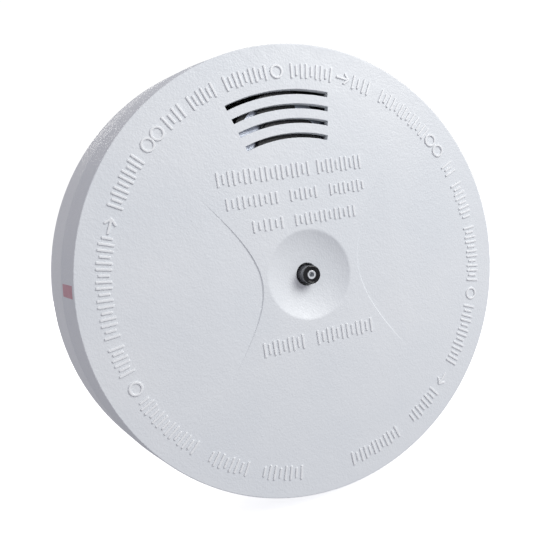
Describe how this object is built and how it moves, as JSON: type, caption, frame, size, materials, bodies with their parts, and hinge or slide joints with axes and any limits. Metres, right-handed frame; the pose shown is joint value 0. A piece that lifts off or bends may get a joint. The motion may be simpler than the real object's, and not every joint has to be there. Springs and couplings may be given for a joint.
{
  "type": "heat detector",
  "caption": "Round white heat detector with a finger dish, a central test button with indicator lens, arc-shaped sounder slots and a twist-off mounting plate.",
  "frame": {"origin": "Centre of the mounting plate's back face, where the detector meets the wall or ceiling.", "axes": "+Y runs from the front face into the wall, +Z is the side of the sounder slots, +X is to the right as seen from the front. On a ceiling +Y points up."},
  "size_m": [0.1192, 0.0311, 0.1192],
  "materials": {
    "white_shell": "moulded white ABS with a fine spark-eroded texture",
    "white_plate": "moulded white ABS",
    "pale_red_plastic": "pale red moulded plastic",
    "black_plastic": "black moulded plastic, satin",
    "clear_lens": "clear polycarbonate",
    "steel": "zinc plated steel",
    "circuit_board": "green solder mask over glass fibre",
    "red_led": "red tinted epoxy",
    "tinned": "tinned wire",
    "dark_plastic": "black moulded plastic",
    "brass_disc": "thin nickel-washed brass",
    "piezo_ceramic": "silvered ceramic",
    "rubber": "black silicone rubber",
    "epoxy_bead": "dark epoxy dip",
    "ferrite": "sintered ferrite",
    "copper_winding": "enamelled copper wire",
    "capacitor_sleeve": "shrink sleeve",
    "resistor_body": "lacquer",
    "ceramic_cap": "epoxy dip",
    "battery_jacket": "plain printed steel jacket",
    "nickel": "nickel plated",
    "wire_red": "PVC insulation",
    "wire_black": "PVC insulation",
    "foam": "soft foam",
    "label_paper": "blank silver-white label"
  },
  "bodies": {
    "plate": {"mounting_plate": "white_plate"},
    "housing": {"base_housing": "white_shell", "front_cover": "white_shell", "cover_screws": "steel", "skirt_marker": "pale_red_plastic", "circuit_board": "circuit_board", "board_screws": "steel", "indicator_led": "red_led", "led_leads": "tinned", "switch_body": "dark_plastic", "switch_shield": "steel", "sounder_cup": "black_plastic", "sounder_gasket": "rubber", "sounder_disc": "brass_disc", "sounder_ceramic": "piezo_ceramic", "sounder_cap": "black_plastic", "sounder_contacts": "tinned", "thermistor_bead": "epoxy_bead", "thermistor_leads": "tinned", "control_chip": "dark_plastic", "chip_legs": "tinned", "coil_core": "ferrite", "coil_winding": "copper_winding", "electrolytic_capacitors": "capacitor_sleeve", "resistors": "resistor_body", "resistor_feet": "tinned", "ceramic_capacitors": "ceramic_cap", "transistors": "dark_plastic", "transistor_legs": "tinned", "battery_case": "battery_jacket", "battery_terminals": "nickel", "snap_connector": "dark_plastic", "battery_lead_red": "wire_red", "battery_lead_black": "wire_black", "battery_pad": "foam", "rear_label": "label_paper"},
    "button": {"test_button": "black_plastic", "indicator_lens": "clear_lens"},
    "plunger": {"switch_plunger": "dark_plastic"}
  },
  "joints": [
    {"name": "housing_twist", "type": "hinge", "parent": "plate", "child": "housing", "pos_m": [0, 0, 0], "axis": [0, -1, 0], "range_deg": [0, 15]},
    {"name": "test_button_press", "type": "slide", "parent": "housing", "child": "button", "axis": [0, 1, 0], "range_m": [0, 0.0005], "stiffness_N_per_m": 1500},
    {"name": "switch_plunger_press", "type": "slide", "parent": "housing", "child": "plunger", "axis": [0, 1, 0], "range_m": [0, 0.0005]}
  ],
  "couplings": [
    {"joint": "switch_plunger_press", "follows": "test_button_press", "ratio": 1}
  ]
}
